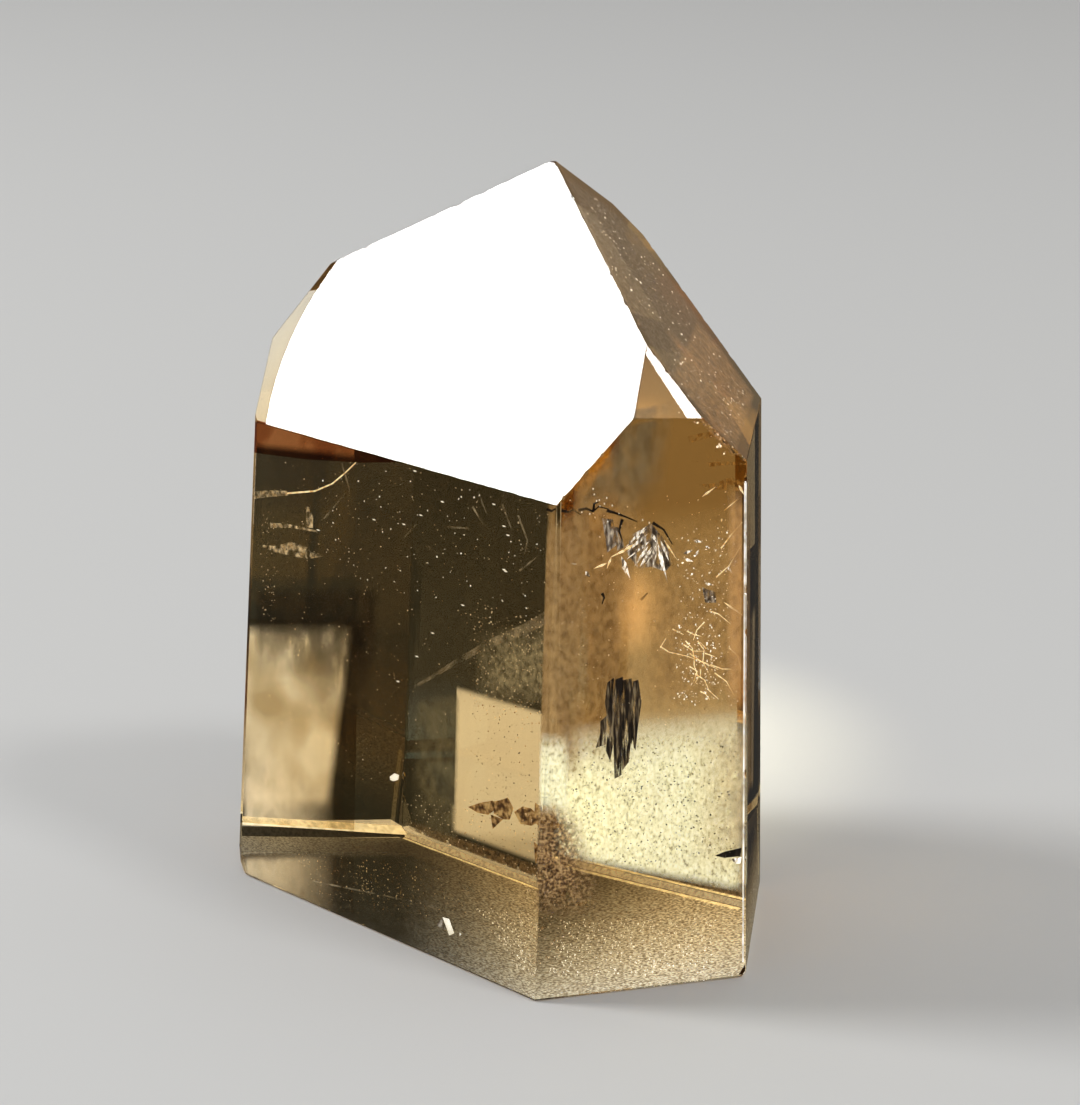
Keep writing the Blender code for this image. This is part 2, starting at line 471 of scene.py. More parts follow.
silver = inclusion_finish("silver_film", [(0.40, (0.06, 0.045, 0.03)), (0.50, (0.50, 0.44, 0.35)),
                                          (0.58, (1.0, 0.98, 0.90))], glow=1.0, grain=0.32, stretch=2.5)
grey = inclusion_finish("grey_film", [(0.38, (0.04, 0.03, 0.022)), (0.52, (0.16, 0.13, 0.10)),
                                      (0.66, (0.62, 0.57, 0.48))],
                        glow=0.55, grain=0.35, stretch=3.0, cover=(0.36, 0.52, 0.85))
gold = inclusion_finish("gold_thread", [(0.35, (0.55, 0.33, 0.11)), (0.6, (1.0, 0.84, 0.50))], glow=0.9)
FEATHER = [((10.7, 42.5), (9.0, 40.7), 0.30), ((10.7, 42.3), (9.9, 41.3), 0.24),
           ((10.8, 41.8), (9.0, 40.2), 0.32), ((11.1, 41.2), (9.1, 39.6), 0.26),
           ((10.9, 40.7), (9.7, 38.8), 0.30), ((11.2, 40.6), (10.2, 38.7), 0.24),
           ((11.6, 40.7), (10.5, 39.0), 0.32), ((11.7, 40.5), (10.8, 39.0), 0.20),
           ((11.7, 40.6), (11.4, 38.5), 0.26), ((11.7, 41.2), (12.8, 37.1), 0.30),
           ((12.0, 41.2), (12.9, 39.1), 0.26), ((11.8, 40.0), (12.7, 37.6), 0.24),
           ((11.3, 41.8), (11.7, 40.9), 0.30), ((8.5, 40.0), (9.4, 37.8), 0.42),
           ((8.6, 39.4), (9.0, 38.3), 0.30), ((5.3, 38.9), (5.8, 38.2), 0.34),
           ((14.1, 39.8), (15.0, 39.9), 0.34), ((14.2, 39.3), (15.1, 38.9), 0.30),
           ((15.0, 40.9), (15.9, 40.6), 0.30), ((15.2, 39.5), (15.6, 40.0), 0.22),
           ((16.1, 40.3), (16.6, 40.0), 0.20), ((18.1, 38.3), (18.7, 37.5), 0.22),
           ((16.1, 36.9), (17.0, 36.6), 0.26)]
films("feather_silver", "front", 4.0, [blade(*b) for b in FEATHER], silver)
GOLD_BLADES = [((12.2, 41.3), (13.5, 39.3), 0.16), ((9.5, 41.1), (8.5, 40.4), 0.28),
               ((9.1, 40.8), (7.5, 40.0), 0.24), ((7.5, 40.1), (7.2, 39.0), 0.20),
               ((7.1, 39.6), (6.0, 39.1), 0.22), ((17.7, 35.2), (19.6, 33.7), 0.20),
               ((18.9, 45.7), (19.5, 44.7), 0.28), ((18.9, 44.5), (17.7, 43.4), 0.12),
               ((17.4, 42.8), (17.5, 42.4), 0.18), ((15.6, 44.9), (16.9, 45.6), 0.20)]
GOLD_THREADS = [[(14.3, 32.9), (15.0, 32.5), (15.6, 32.3)],
                [(14.2, 32.0), (14.8, 31.3), (15.0, 30.4), (15.0, 29.7), (15.4, 28.5), (15.1, 28.0)],
                [(15.6, 27.2), (16.1, 26.9), (16.5, 26.3)], [(16.1, 31.1), (15.5, 31.8)],
                [(14.6, 30.8), (15.6, 30.0), (16.3, 29.6), (17.2, 29.1)],
                [(11.9, 31.7), (12.7, 31.1), (14.3, 30.6), (16.3, 29.7)], [(12.4, 32.4), (11.9, 31.6)],
                [(16.5, 29.6), (17.6, 29.1), (18.5, 29.0)], [(15.6, 29.3), (15.6, 28.5)],
                [(15.9, 33.6), (15.2, 32.9), (14.9, 32.0)], [(13.0, 33.2), (14.0, 32.6)],
                [(15.3, 31.9), (15.9, 31.0), (15.8, 29.9), (16.3, 28.9)],
                [(14.0, 31.7), (14.9, 31.0), (15.9, 30.9)],
                [(15.1, 28.9), (16.0, 28.2), (16.4, 27.2), (17.3, 26.3)], [(16.0, 30.7), (16.9, 30.3)],
                [(16.9, 28.8), (18.0, 27.9), (18.7, 26.6)], [(14.6, 29.6), (15.3, 29.1), (15.0, 28.2)],
                [(16.3, 34.6), (17.2, 34.2), (18.3, 33.2)], [(17.3, 40.2), (18.4, 41.6), (19.2, 42.4)],
                [(16.9, 37.6), (18.1, 38.6), (19.1, 40.3)], [(18.2, 31.0), (19.0, 30.2), (19.3, 29.0)]]
films("feather_gold", "front", 3.4, [blade(*b) for b in GOLD_BLADES], gold)
films("gold_threads", "front", 3.0, [thread(t, 0.115) for t in GOLD_THREADS], gold)
films("feather_grey", "front", 4.8,
      [[(9.4, 41.6), (11.3, 42.6), (12.4, 41.2), (13.3, 38.9), (12.6, 38.1), (11.4, 38.7), (10.2, 38.6),
        (9.2, 40.0)],
       [(6.9, 43.4), (7.9, 43.2), (8.2, 40.9), (7.4, 40.3)],
       [(7.9, 42.6), (8.5, 42.4), (8.9, 40.6), (8.3, 40.4)],
       [(16.0, 36.4), (17.2, 35.9), (17.3, 34.9), (16.3, 35.0)]], grey)

dark = inclusion_finish("dark_film", [(0.4, (0.012, 0.008, 0.004)), (0.7, (0.05, 0.035, 0.02))], glow=0.0)
CRACKS = [[(3.1, 44.6), (3.7, 44.4), (4.1, 44.6), (4.8, 44.1)], [(5.9, 44.3), (6.0, 45.0), (6.4, 45.1)],
          [(4.6, 44.5), (5.3, 44.6), (5.9, 44.3), (6.4, 44.7), (7.3, 44.4)], [(10.2, 36.0), (10.8, 36.6)],
          [(7.1, 44.3), (7.9, 44.0), (8.8, 43.6), (9.8, 43.1)], [(8.5, 43.4), (8.2, 42.4), (8.5, 41.5)],
          [(6.7, 36.9), (6.9, 36.5), (6.7, 35.9)], [(11.2, 42.9), (12.2, 42.2), (13.0, 40.8)]]
films("dark_crack", "front", 3.5, [thread(t, 0.27) for t in CRACKS], dark)
films("dark_wedge", "front", 1.5,
      [[(16.9, 11.8), (17.8, 12.1), (19.4, 12.3), (19.3, 11.5), (17.8, 11.5)]], dark)
films("pale_wedge", "front", 1.5, [[(18.4, 11.3), (19.4, 11.4), (19.3, 10.8), (18.9, 10.8)]], silver)

striped = inclusion_finish("striped_film", [(0.44, (0.014, 0.009, 0.005)), (0.56, (0.09, 0.062, 0.032)),
                                            (0.66, (0.34, 0.26, 0.14))],
                           glow=0.35, grain=0.22, stretch=9.0, cover=(0.34, 0.46, 1.0))
films("striped_flake", "front", 1.2,
      [[(6.8, 29.2), (7.4, 29.6), (7.6, 24.9), (7.1, 21.9), (6.7, 22.9), (6.9, 25.4), (6.6, 27.4)],
       [(7.4, 29.4), (8.2, 29.6), (8.3, 24.9), (8.1, 20.5), (7.5, 20.2), (7.4, 22.9)],
       [(8.1, 29.3), (9.0, 29.4), (9.2, 25.9), (8.8, 21.7), (8.2, 20.9), (8.1, 24.9)],
       [(8.9, 29.1), (9.6, 29.2), (9.9, 27.1), (9.6, 24.9), (9.4, 22.7), (8.9, 23.5)],
       [(6.8, 26.2), (6.7, 23.5), (5.8, 23.3), (6.2, 24.6), (6.2, 25.7)]], striped)

leaf_brown = inclusion_finish("leaf_film", [(0.36, (0.06, 0.028, 0.010)), (0.50, (0.28, 0.15, 0.05)),
                                            (0.64, (0.54, 0.36, 0.14))], glow=0.5)
films("leaf_flake", "front_left", 3.0,
      [[(-10.3, 15.1), (-8.9, 15.9), (-7.3, 16.6), (-7.1, 15.7), (-7.8, 15.1), (-9.1, 14.9)],
       [(-7.3, 16.5), (-6.4, 16.9), (-5.5, 17.4), (-4.8, 16.6), (-5.2, 15.4), (-6.0, 15.2), (-7.1, 15.4)],
       [(-7.5, 15.2), (-7.2, 13.9), (-6.0, 15.2)],
       [(-4.7, 16.3), (-3.7, 17.1), (-2.7, 17.2), (-1.2, 16.6), (-2.6, 15.6), (-3.9, 15.4)]], leaf_brown)
films("leaf_flake_right", "front", 2.0,
      [[(1.1, 18.3), (1.9, 17.9), (2.4, 16.6), (2.9, 15.9), (1.9, 15.9), (1.0, 16.5)],
       [(1.0, 14.6), (1.7, 14.2), (2.2, 13.0), (1.2, 12.6)],
       [(2.0, 12.4), (2.9, 12.1), (2.4, 11.2)]], leaf_brown)

cream = inclusion_finish("cream_chip", [(0.3, (0.80, 0.74, 0.58)), (0.6, (1.0, 0.97, 0.86))],
                         glow=0.85, grain=0.8)
films("cream_chips", "front_left", 1.5,
      [[(-12.3, 3.9), (-11.5, 4.0), (-10.8, 2.8), (-11.4, 2.4)],
       [(-10.1, 3.1), (-9.9, 3.0), (-10.1, 2.8)]], cream)
films("cream_speck", "front_left", 5.0,
      [[(-21.3, 14.6), (-20.7, 15.1), (-20.1, 15.1), (-20.2, 14.6), (-20.8, 14.3), (-21.2, 14.3)]], cream)
films("grey_chip", "front_left", 1.6, [[(-12.4, 3.8), (-12.0, 2.7), (-13.1, 2.8)]], grey)
STARS = [(-7.6, 37.9), (-7.4, 37.8), (-1.9, 39.8), (-20.2, 24.3), (-23.8, 38.9), (-20.0, 39.3),
         (-15.3, 42.4), (-9.1, 43.5), (-7.8, 41.8), (-7.3, 41.1), (-17.9, 40.6), (-31.1, 36.3),
         (-18.8, 44.5), (-12.4, 33.5), (-16.0, 30.0), (-17.9, 27.3)]
films("stars_left", "front_left", 4.0,
      [blade((a - 0.11, z + 0.07), (a + 0.12, z - 0.05), 0.15, 0.5) for a, z in STARS], cream)
SPARKS = [(6.0, 45.8), (6.2, 45.2), (6.45, 45.25), (6.5, 44.7), (7.1, 45.4), (6.9, 44.9), (5.6, 44.1),
          (7.2, 43.3), (5.9, 46.3), (7.6, 44.7), (4.9, 44.3), (8.2, 43.9), (10.3, 43.2), (10.9, 42.9)]
films("sparks_front", "front", 3.3,
      [blade((a - 0.05, z + 0.14), (a + 0.06, z - 0.14), 0.13, 0.5) for a, z in SPARKS], cream)

veil = inclusion_finish("thin_veil", [(0.4, (0.34, 0.23, 0.10)), (0.62, (0.75, 0.60, 0.36))],
                        glow=0.5, cover=(0.42, 0.66, 0.85))
films("veils_left", "front_left", 4.0,
      [[(-32.6, 38.3), (-31.7, 38.3), (-31.7, 36.4), (-32.6, 36.3)],
       [(-39.3, 33.1), (-36.9, 33.5), (-34.6, 34.4), (-32.5, 34.4), (-30.2, 34.0), (-32.5, 33.2),
        (-36.9, 32.9)],
       thread([(-37.5, 35.4), (-34.9, 35.9), (-31.1, 36.2)], 0.5),
       thread([(-40.3, 37.7), (-37.5, 38.5), (-35.2, 39.0)], 0.75, 0.6)], veil)
films("arc_left", "front_left", 4.0,
      [thread([(-35.4, 38.95), (-31.5, 40.0), (-29.2, 41.2), (-27.5, 42.6), (-26.2, 43.8)], 0.16, 0.6)], gold)
faint = inclusion_finish("faint_veil", [(0.4, (0.28, 0.20, 0.10)), (0.62, (0.62, 0.50, 0.30))],
                         glow=0.4, grain=1.2, cover=(0.40, 0.70, 0.42))
films("beam_veil", "front_left", 6.0,
      [thread([(-2.0, 35.2), (-5.8, 32.7), (-10.1, 30.2), (-13.4, 27.9), (-18.9, 23.9)], 1.1, 0.25),
       thread([(-24.5, 33.9), (-19.1, 39.5)], 0.4)], faint)
FIBRES = [[(-27.5, 43.5), (-26.5, 41.5), (-26.3, 38.5)], [(-11.0, 43.0), (-9.5, 41.5), (-8.0, 41.3)],
          [(-7.5, 44.0), (-6.2, 41.8), (-6.4, 40.0)], [(-14.0, 40.5), (-11.0, 41.0), (-8.5, 40.2)],
          [(-30.0, 37.5), (-27.0, 40.8)], [(-20.0, 43.8), (-18.2, 42.0)], [(-5.2, 38.5), (-3.0, 40.4)],
          [(-16.5, 38.2), (-12.8, 37.4)], [(-10.4, 44.4), (-9.2, 42.6)],
          [(-5.6, 43.4), (-4.4, 41.4), (-4.7, 40.0)]]
films("fibres_left", "front_left", 3.0, [thread(t, 0.22) for t in FIBRES], faint)
films("scratch_left", "front_left", 0.4,
      [thread([(-29.7, 2.2), (-25.0, 3.0), (-15.4, 4.6), (-12.6, 4.8)], 0.16, 0.8)], faint)
# A bright glowing strip just under the front face's right edge: a painted glint along the edge.
edge_glint = inclusion_finish("edge_glint", [(0.35, (0.45, 0.40, 0.30)), (0.6, (0.95, 0.92, 0.80))],
                        glow=0.85, grain=1.2)
films("edge_glint_right", "front", 0.35, [[(19.42, 1.4), (19.58, 1.4), (18.92, 46.5), (18.76, 46.5)]], edge_glint)

# Clouds of fine inclusions hang under the faces: cream low on the right, tan and amber above it, rust brown
# at the foot of the front edge, amber and dark veils under the right face of the point, faint olive and dim
# ones on the left, and two dark ones, a pale one and a dark line of painted shade at the back. Each is a thin
# soft-edged sheet that glows in its own colour, as painted light standing in for the light the quartz
# scatters, and the shade cloud high under the front face is painted shade.


def cloud_finish(name, dark, pale, cover, glow=0.8, grain=0.5, stretch=1.5):
    """A soft cloud mottled from dark to pale, thinning out by its cover of (low, high, most), and glowing in
    its own colour by glow, as painted light.
    """
    return inclusion_finish(name, [(0.35, dark), (0.62, pale)], glow, grain, stretch, cover, True)


cream_cloud = inclusion_finish("cream_cloud", [(0.30, (0.40, 0.36, 0.21)), (0.42, (0.80, 0.77, 0.50)),
                                               (0.64, (1.0, 0.98, 0.74))],
                               glow=0.62, grain=0.28, stretch=1.4, cover=(0.10, 0.40, 0.72), fading=True)
haze("cream_cloud", "front", 2.6, [(2.2, 13.0), (19.9, 7.5), (19.9, 25.2), (2.2, 25.6)],
     (0.03, 0.03, 0.06, 0.34), cream_cloud)
haze("dusk_cloud", "front", 2.2, [(14.5, 9.4), (19.8, 9.0), (19.8, 24.6), (14.5, 24.6)],
     (0.85, 0.03, 0.30, 0.16),
     cloud_finish("dusk_cloud", (0.26, 0.20, 0.11), (0.44, 0.35, 0.20), (0.20, 0.45, 0.50),
                  glow=0.9, grain=0.6))
haze("cream_cloud_core", "front", 3.4, [(2.7, 13.2), (13.5, 10.0), (13.5, 19.0), (2.7, 23.0)],
     (0.06, 0.70, 0.10, 0.30), cream_cloud)
tan_cloud = inclusion_finish("tan_cloud", [(0.30, (0.17, 0.095, 0.030)), (0.62, (0.31, 0.19, 0.070))],
                             glow=0.9, stretch=1.6, cover=(0.10, 0.40, 0.56), fading=True)
haze("tan_cloud", "front", 5.5, [(4.0, 19.0), (10.4, 19.0), (11.0, 51.4), (4.4, 46.8)],
     (0.10, 0.36, 0.08, 0.05), tan_cloud)
haze("tan_cloud_edge", "front", 1.0, [(0.9, 22.0), (4.8, 19.0), (5.2, 46.6), (1.5, 43.8)],
     (0.06, 0.45, 0.10, 0.08), tan_cloud)
haze("cream_cloud_edge", "front", 0.8, [(0.7, 17.6), (3.4, 16.8), (3.4, 25.0), (0.75, 25.4)],
     (0.20, 0.30, 0.25, 0.30), cream_cloud)
haze("rust_cloud", "front", 0.6, [(0.35, 7.6), (7.2, 7.2), (4.0, 18.4), (0.55, 18.6)],
     (0.06, 0.50, 0.35, 0.20),
     inclusion_finish("rust_cloud", [(0.38, (0.06, 0.03, 0.012)), (0.50, (0.22, 0.125, 0.05)),
                                     (0.64, (0.48, 0.32, 0.14))],
                      glow=0.65, grain=0.28, cover=(0.30, 0.48, 0.74), fading=True))
haze("tan_cloud_right", "front", 5.5, [(9.0, 22.0), (20.4, 22.0), (20.4, 44.0), (9.0, 42.0)],
     (0.32, 0.03, 0.30, 0.40), tan_cloud)
haze("amber_cloud_edge", "front", 0.8, [(17.5, 25.5), (18.95, 25.5), (18.72, 46.2), (17.3, 46.2)],
     (0.40, 0.02, 0.12, 0.12),
     cloud_finish("amber_cloud", (0.30, 0.165, 0.058), (0.44, 0.25, 0.088), (0.10, 0.40, 0.55),
                  glow=0.9, grain=0.7))
haze("warm_cloud", "front", 3.0, [(7.6, 31.0), (11.2, 31.0), (11.2, 40.0), (7.6, 40.0)],
     (0.5, 0.5, 0.5, 0.5),
     cloud_finish("warm_cloud", (0.55, 0.31, 0.10), (0.68, 0.39, 0.13), (0.10, 0.40, 0.50),
                  glow=0.9, grain=0.8))
haze("amber_streak", "right_point", 1.6, [(-5.4, 71.6), (-1.8, 71.6), (-1.0, 77.8), (-4.4, 77.8)],
     (0.5, 0.5, 0.4, 0.4),
     cloud_finish("amber_streak", (0.46, 0.22, 0.075), (0.74, 0.37, 0.13), (0.10, 0.40, 0.6),
                  glow=0.9, grain=0.6, stretch=2.0))
soft_film("amber_veil", "right_point", 0.9,
          [(-13.0, 66.8), (5.2, 66.8), (7.4, 72.0), (7.8, 75.4), (-12.9, 75.4), (-13.6, 69.0)],
          cloud_finish("amber_veil", (0.15, 0.08, 0.03), (0.42, 0.22, 0.08), (0.20, 0.55, 0.34)))
soft_film("point_veil", "right_point", 1.1,
          [(-13.5, 71.0), (7.0, 71.0), (10.2, 77.7), (12.7, 84.2), (11.9, 87.8), (6.6, 93.8), (2.6, 90.8),
           (-2.6, 86.4), (-8.5, 81.6), (-13.1, 75.2)],
          cloud_finish("point_veil", (0.035, 0.024, 0.015), (0.13, 0.09, 0.058), (0.20, 0.50, 0.50),
                       grain=0.4, stretch=1.0))
haze("shade_cloud", "front", 5.0, [(4.2, 43.6), (12.4, 43.6), (13.4, 52.2), (9.0, 51.6)],
     (0.05, 0.40, 0.40, 0.03),
     cloud_finish("shade_cloud", (0.07, 0.055, 0.028), (0.15, 0.12, 0.065), (0.20, 0.50, 0.42),
                  grain=0.9, stretch=2.0))
# Two dark sheets at the back, which also glow faintly with painted light.
dark_cloud = cloud_finish("dark_cloud", (0.012, 0.009, 0.005), (0.05, 0.035, 0.018),
                           (0.20, 0.50, 0.36), glow=0.3, grain=1.2, stretch=2.0)
haze("dark_cloud_right", "back", 1.6, [(-1.5, 10.0), (10.0, 13.0), (15.0, 24.0), (-1.5, 24.0)],
     (0.10, 0.50, 0.60, 0.10), dark_cloud)
haze("dark_cloud_high", "back", 2.0, [(-2.0, 17.5), (16.0, 17.5), (16.0, 27.0), (-2.0, 27.0)],
     (0.05, 0.05, 0.45, 0.10), dark_cloud)
# A pale sheet low at the back that glows brightly: painted light.
haze("pale_cloud_low", "back", 1.4, [(3.5, 1.4), (17.2, 1.9), (16.8, 13.5), (3.5, 13.5)],
     (0.60, 0.04, 0.05, 0.85),
     cloud_finish("pale_cloud", (0.80, 0.74, 0.58), (1.0, 0.92, 0.74), (0.10, 0.50, 0.26),
                  glow=1.35, grain=1.6))
haze("olive_cloud", "front_left", 6.0, [(-11.4, 24.0), (-1.0, 26.6), (-1.4, 35.0), (-11.8, 31.0)],
     (0.35, 0.12, 0.30, 0.35),
     cloud_finish("olive_cloud", (0.14, 0.11, 0.055), (0.36, 0.29, 0.15), (0.20, 0.60, 0.46),
                  grain=0.4, stretch=1.3))
haze("dim_cloud", "front_left", 6.0, [(-19.0, 9.8), (-13.0, 9.2), (-13.1, 25.0), (-19.1, 22.8)],
     (0.25, 0.04, 0.15, 0.06),
     cloud_finish("dim_cloud", (0.09, 0.07, 0.033), (0.19, 0.15, 0.07), (0.20, 0.50, 0.26), grain=0.9))
# A dark line along the foot of the back right face: painted shade, which also glows faintly.
haze("foot_shade_line", "back_right", 0.1, [(-17.4, 0.85), (13.6, 0.85), (13.6, 2.0), (-17.4, 2.45)],
     (0.12, 0.08, 0.15, 0.30),
     inclusion_finish("foot_shade", [(0.35, (0.06, 0.048, 0.032)), (0.6, (0.19, 0.15, 0.10))],
                      glow=0.6, grain=0.4, cover=(0.30, 0.45, 0.9), fading=True))

# Thin brown stains filter what is seen through them: a rust-coloured one under the top edge of the
# front left face, and a smoky phantom layer left as the crystal grew, near the back.


def stain_finish(name, tint, clear, grain, low, high):
    """A see-through sheet that goes from clear to tint in soft patches of so many mm."""
    material, nodes, links = node_material(name)
    nodes.remove(nodes["Principled BSDF"])
    sheet = nodes.new("ShaderNodeBsdfTransparent")
    patches = noise_of(nodes, links, grain, 1.5)
    links.new(ramp_of(nodes, links, patches, [(low, clear), (high, tint)]), sheet.inputs["Color"])
    links.new(sheet.outputs["BSDF"], nodes["Material Output"].inputs["Surface"])
    return material


films("rust_stain", "front_left", 0.6,
      [[(-38.1, 45.6), (-19.0, 45.6), (-23.6, 44.6), (-31.0, 43.4), (-38.1, 42.6)]],
      stain_finish("rust_stain", (0.60, 0.34, 0.19), (0.74, 0.48, 0.30), 3.0, 0.4, 0.6))
films("phantom_layer", "back", 1.2, [[(0.5, 1.0), (17.6, 1.8), (16.4, 23.5), (0.5, 23.0)]],
      stain_finish("phantom_layer", (0.76, 0.69, 0.56), (1.0, 0.97, 0.91), 5.5, 0.32, 0.66))

# Fine flecks are strewn under the front and right faces and over the foot: dark ones that show against the
# light, and pale and gold ones that glow as painted glints.

FLECK_SHAPE = (1.0, 0.75, 0.3)  # length, width and thickness, as shares of its size
SMALLEST_FLECK = 0.35  # as a share of the largest
WHOLE_TURN = 6.283  # radians


def fleck_finish(name, dull, bright, glow):
    """Each fleck has a shade of its own, from its "shade" attribute."""
    material, nodes, links = node_material(name)
    shader = nodes["Principled BSDF"]
    shader.inputs["Roughness"].default_value = 0.3
    # The glow is painted light: each pale or gold fleck shines in its own colour as a glint.
    shader.inputs["Emission Strength"].default_value = glow
    shade = nodes.new("ShaderNodeAttribute")
    shade.attribute_name = "shade"
    tint = ramp_of(nodes, links, shade.outputs["Fac"], [(0.2, dull), (0.95, bright)])
    links.new(tint, shader.inputs["Base Color"])
    links.new(tint, shader.inputs["Emission Color"])
    return material


def fleck_tree():
    """Strews flat flecks evenly between two corners, each turned, sized and shaded at random."""
    tree = bpy.data.node_groups.new("strewn_flecks", "GeometryNodeTree")
    sockets = [("Count", "Int"), ("Low corner", "Vector"), ("High corner", "Vector"),
               ("Largest", "Float"), ("Seed", "Int"), ("Finish", "Material")]
    for label, kind in sockets:
        tree.interface.new_socket(label, in_out="INPUT", socket_type="NodeSocket" + kind)
    tree.interface.new_socket("Flecks", in_out="OUTPUT", socket_type="NodeSocketGeometry")
    nodes, links = tree.nodes, tree.links
    given = nodes.new("NodeGroupInput")

    def random(kind, low, high, shift):
        value = nodes.new("FunctionNodeRandomValue")
        value.data_type = kind
        slots = [s for s in value.inputs if s.enabled]
        for slot, bound in zip(slots, (low, high)):
            if isinstance(bound, str):
                links.new(given.outputs[bound], slot)
            else:
                slot.default_value = bound
        seed = nodes.new("ShaderNodeMath")
        seed.inputs[1].default_value = shift
        links.new(given.outputs["Seed"], seed.inputs[0])
        links.new(seed.outputs["Value"], value.inputs["Seed"])
        return next(s for s in value.outputs if s.enabled)

    spots = nodes.new("GeometryNodePoints")
    links.new(given.outputs["Count"], spots.inputs["Count"])
    links.new(random("FLOAT_VECTOR", "Low corner", "High corner", 0), spots.inputs["Position"])
    fleck = nodes.new("GeometryNodeMeshIcoSphere")
    fleck.inputs["Radius"].default_value = 0.5
    share = random("FLOAT", SMALLEST_FLECK, 1.0, 11)
    size = maths(nodes, links, "MULTIPLY", share, given.outputs["Largest"])
    shape = nodes.new("ShaderNodeVectorMath")
    shape.operation = "SCALE"
    shape.inputs[0].default_value = FLECK_SHAPE
    links.new(size, shape.inputs["Scale"])
    turn = nodes.new("FunctionNodeEulerToRotation")
    links.new(random("FLOAT_VECTOR", (0.0,) * 3, (WHOLE_TURN,) * 3, 23), turn.inputs["Euler"])
    strewn = nodes.new("GeometryNodeInstanceOnPoints")
    links.new(spots.outputs[0], strewn.inputs["Points"])
    links.new(fleck.outputs["Mesh"], strewn.inputs["Instance"])
    links.new(turn.outputs[0], strewn.inputs["Rotation"])
    links.new(shape.outputs["Vector"], strewn.inputs["Scale"])
    shaded = nodes.new("GeometryNodeStoreNamedAttribute")
    shaded.data_type = "FLOAT"
    shaded.domain = "INSTANCE"
    shaded.inputs["Name"].default_value = "shade"
    links.new(strewn.outputs["Instances"], shaded.inputs["Geometry"])
    links.new(random("FLOAT", 0.0, 1.0, 37), shaded.inputs["Value"])
    whole = nodes.new("GeometryNodeRealizeInstances")
    links.new(shaded.outputs["Geometry"], whole.inputs["Geometry"])
    finish = nodes.new("GeometryNodeSetMaterial")
    links.new(whole.outputs["Geometry"], finish.inputs["Geometry"])
    links.new(given.outputs["Finish"], finish.inputs["Material"])
    links.new(finish.outputs["Geometry"], nodes.new("NodeGroupOutput").inputs[0])
    return tree


flecks = fleck_tree()


def strew(name, frame_of, low, high, count, largest, seed, finish):
    """Flecks between two corners of (across, up, -depth) mm, as one plain mesh."""
    host = bpy.data.objects.new(name + "_host", bpy.data.meshes.new(name + "_host"))
    bpy.context.scene.collection.objects.link(host)
    modifier = host.modifiers.new("flecks", "NODES")
    modifier.node_group = flecks
    given = {"Count": count, "Low corner": low, "High corner": high, "Largest": largest, "Seed": seed,
             "Finish": finish}
    for socket in flecks.interface.items_tree:
        if socket.in_out == "INPUT":
            modifier[socket.identifier] = given[socket.name]
    graph = bpy.context.evaluated_depsgraph_get()
    mesh = bpy.data.meshes.new_from_object(host.evaluated_get(graph))
    mesh.name = name
    mesh.transform(frame_of)
    bpy.data.objects.remove(host)
    inside_crystal(name, mesh)


dark_fleck = fleck_finish("dark_fleck", (0.015, 0.010, 0.005), (0.10, 0.07, 0.03), 0.0)
gold_fleck = fleck_finish("gold_fleck", (0.22, 0.12, 0.04), (1.0, 0.80, 0.48), 0.55)
star_fleck = fleck_finish("star_fleck", (0.30, 0.24, 0.15), (1.0, 0.97, 0.86), 1.3)
point_fleck = fleck_finish("point_fleck", (0.20, 0.14, 0.08), (1.0, 0.88, 0.68), 1.9)
FLECKS = [
    # place, face (none: upright, from the foot), low corner, high corner, count, largest in mm, finish
    ("low_front", "front", (2.6, 11.6, -1.5), (18.6, 23.5, -1.0), 620, 0.24, dark_fleck),
    ("front", "front", (2.4, 9.0, -8.0), (18.8, 45.0, -1.0), 520, 0.19, gold_fleck),
    ("front_right", "front", (13.5, 26.0, -5.0), (18.8, 42.0, -1.0), 240, 0.24, star_fleck),
    ("foot", None, (4.0, -17.0, 0.15), (19.0, 1.0, 0.6), 900, 0.22, star_fleck),
    ("foot_left", None, (-17.0, -3.0, 0.15), (3.0, 12.0, 0.6), 240, 0.17, gold_fleck),
    ("field_left", "front_left", (-11.5, 24.0, -7.0), (-1.4, 34.0, -4.0), 420, 0.22, gold_fleck),
    ("window_left", "front_left", (-10.0, 12.5, -3.0), (-1.0, 25.5, -2.0), 240, 0.19, dark_fleck),
    ("far_left", "front_left", (-38.0, 26.0, -4.0), (-36.2, 37.0, -2.0), 90, 0.18, gold_fleck),
    ("left", "front_left", (-37.0, 13.0, -9.0), (-1.6, 44.5, -2.0), 520, 0.17, gold_fleck),
    ("high_left", "front_left", (-30.0, 33.0, -5.0), (-2.0, 44.5, -2.0), 130, 0.22, star_fleck),
    ("low_left", "front_left", (-18.0, 9.5, -5.0), (-1.4, 14.5, -2.0), 260, 0.18, gold_fleck),
    ("edge", "front", (0.4, 3.0, -4.0), (3.0, 17.5, -1.0), 240, 0.22, gold_fleck),
    ("right_point", "right_point", (-12.0, 67.5, -2.0), (5.0, 76.0, -0.8), 200, 0.36, point_fleck),
    ("mid_point", "right_point", (-4.0, 76.0, -2.0), (9.5, 85.5, -0.8), 200, 0.36, point_fleck),
    ("high_point", "right_point", (2.5, 85.5, -2.0), (9.5, 90.0, -0.8), 70, 0.36, point_fleck),
    ("threads", "front", (13.4, 26.0, -3.6), (17.0, 33.4, -2.8), 130, 0.26, star_fleck),
]
for seed, (place, face, low, high, count, largest, finish) in enumerate(FLECKS, 1):
    frame_of = under(face) if face else Matrix.Scale(MM, 4)
    strew("flecks_" + place, frame_of, low, high, count, largest, seed, finish)

